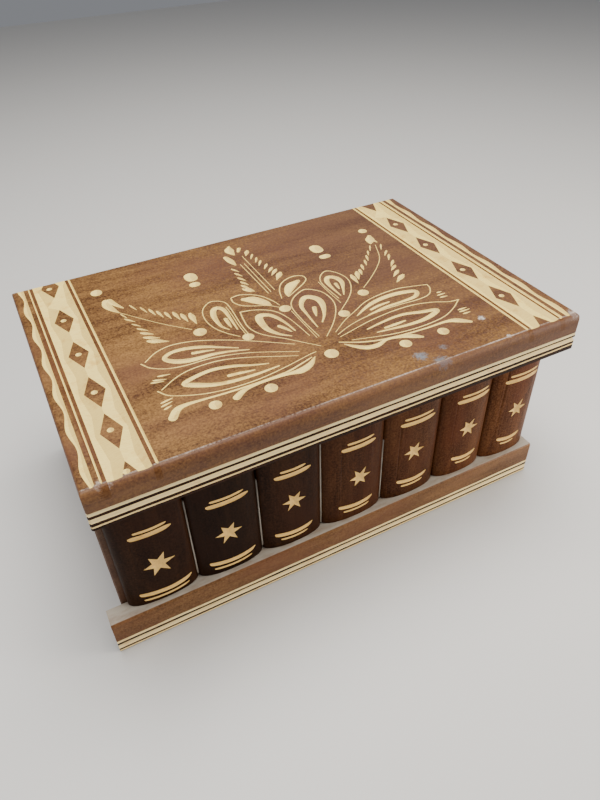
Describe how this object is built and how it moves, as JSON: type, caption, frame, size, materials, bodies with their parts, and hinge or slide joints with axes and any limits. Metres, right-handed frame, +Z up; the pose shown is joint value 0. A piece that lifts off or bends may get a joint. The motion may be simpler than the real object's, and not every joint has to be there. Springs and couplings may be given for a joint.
{
  "type": "wooden puzzle box",
  "caption": "Carved wooden secret box with a book-spine front, hinged overhanging lid, sliding foot moulding, hidden keyhole, key drawer and lock.",
  "frame": {"origin": "on the ground under the middle of the lid, on the underside of the bottom panel", "axes": "+X along the front towards its right end, +Y from the front to the back, +Z up"},
  "size_m": [0.2313, 0.1563, 0.105],
  "materials": {
    "lid_walnut_stain": "satin lacquer over walnut stain, carved through to pale wood",
    "rim_walnut_stain": "satin lacquer over walnut stain",
    "book_dark_stain": "gloss lacquer over dark red-brown stain",
    "wall_dark_stain": "satin lacquer over dark stain",
    "moulding_stain": "satin lacquer over walnut stain",
    "bare_limewood": "planed, unfinished",
    "brass": "plain stamped brass",
    "steel": "plain steel"
  },
  "bodies": {
    "carcass": {"front_wall": "wall_dark_stain", "back_wall": "wall_dark_stain", "left_wall": "wall_dark_stain", "right_wall": "wall_dark_stain", "bottom_panel": "bare_limewood", "drawer_housing": "bare_limewood", "keyhole_plate": "brass", "lock_plate": "brass", "lock_screw_1": "steel", "lock_screw_2": "steel", "lock_screw_3": "steel", "lock_screw_4": "steel", "book_spine_1": "book_dark_stain", "book_spine_3": "book_dark_stain", "book_spine_5": "book_dark_stain", "book_spine_6": "book_dark_stain", "book_spine_7": "book_dark_stain", "hinge_body_leaf_left": "brass", "hinge_body_leaf_right": "brass", "hinge_pin_left": "steel", "hinge_pin_right": "steel", "hinge_body_screw_1": "brass", "hinge_body_screw_2": "brass", "hinge_body_screw_3": "brass", "hinge_body_screw_4": "brass"},
    "foot_moulding": {"base_slider": "moulding_stain"},
    "keyhole_book": {"book_spine_4": "book_dark_stain"},
    "key_drawer": {"book_spine_2": "book_dark_stain", "key_drawer_tray": "bare_limewood", "key": "steel"},
    "plug": {"lock_plug": "brass"},
    "bolt": {"lock_bolt": "steel"},
    "lid": {"lid_top_panel": "lid_walnut_stain", "lid_front_rim": "rim_walnut_stain", "lid_back_rim": "rim_walnut_stain", "lid_left_rim": "rim_walnut_stain", "lid_right_rim": "rim_walnut_stain", "strike_plate": "brass", "strike_screw_1": "brass", "strike_screw_2": "brass", "hinge_lid_leaf_left": "brass", "hinge_lid_leaf_right": "brass", "hinge_lid_screw_1": "brass", "hinge_lid_screw_2": "brass", "hinge_lid_screw_3": "brass", "hinge_lid_screw_4": "brass"}
  },
  "joints": [
    {"name": "lid_hinge", "type": "hinge", "parent": "carcass", "child": "lid", "pos_m": [0, 0.0783, 0.08615], "axis": [-1, 0, 0], "range_deg": [0, 105]},
    {"name": "foot_moulding_slide", "type": "slide", "parent": "carcass", "child": "foot_moulding", "axis": [1, 0, 0], "range_m": [-0.022, 0.0035]},
    {"name": "keyhole_book_slide", "type": "slide", "parent": "carcass", "child": "keyhole_book", "axis": [0, 0, 1], "range_m": [0, 0.0135]},
    {"name": "key_drawer_slide", "type": "slide", "parent": "carcass", "child": "key_drawer", "axis": [0, -1, 0], "range_m": [0, 0.03]},
    {"name": "lock_plug_turn", "type": "hinge", "parent": "carcass", "child": "plug", "pos_m": [0.0022, -0.059, 0.0275], "axis": [0, -1, 0], "range_deg": [0, 90]},
    {"name": "lock_bolt_lift", "type": "slide", "parent": "carcass", "child": "bolt", "axis": [0, 0, 1], "range_m": [0, 0.00707]}
  ],
  "couplings": [
    {"joint": "lock_bolt_lift", "follows": "lock_plug_turn", "m_per_rad": 0.0045016}
  ]
}
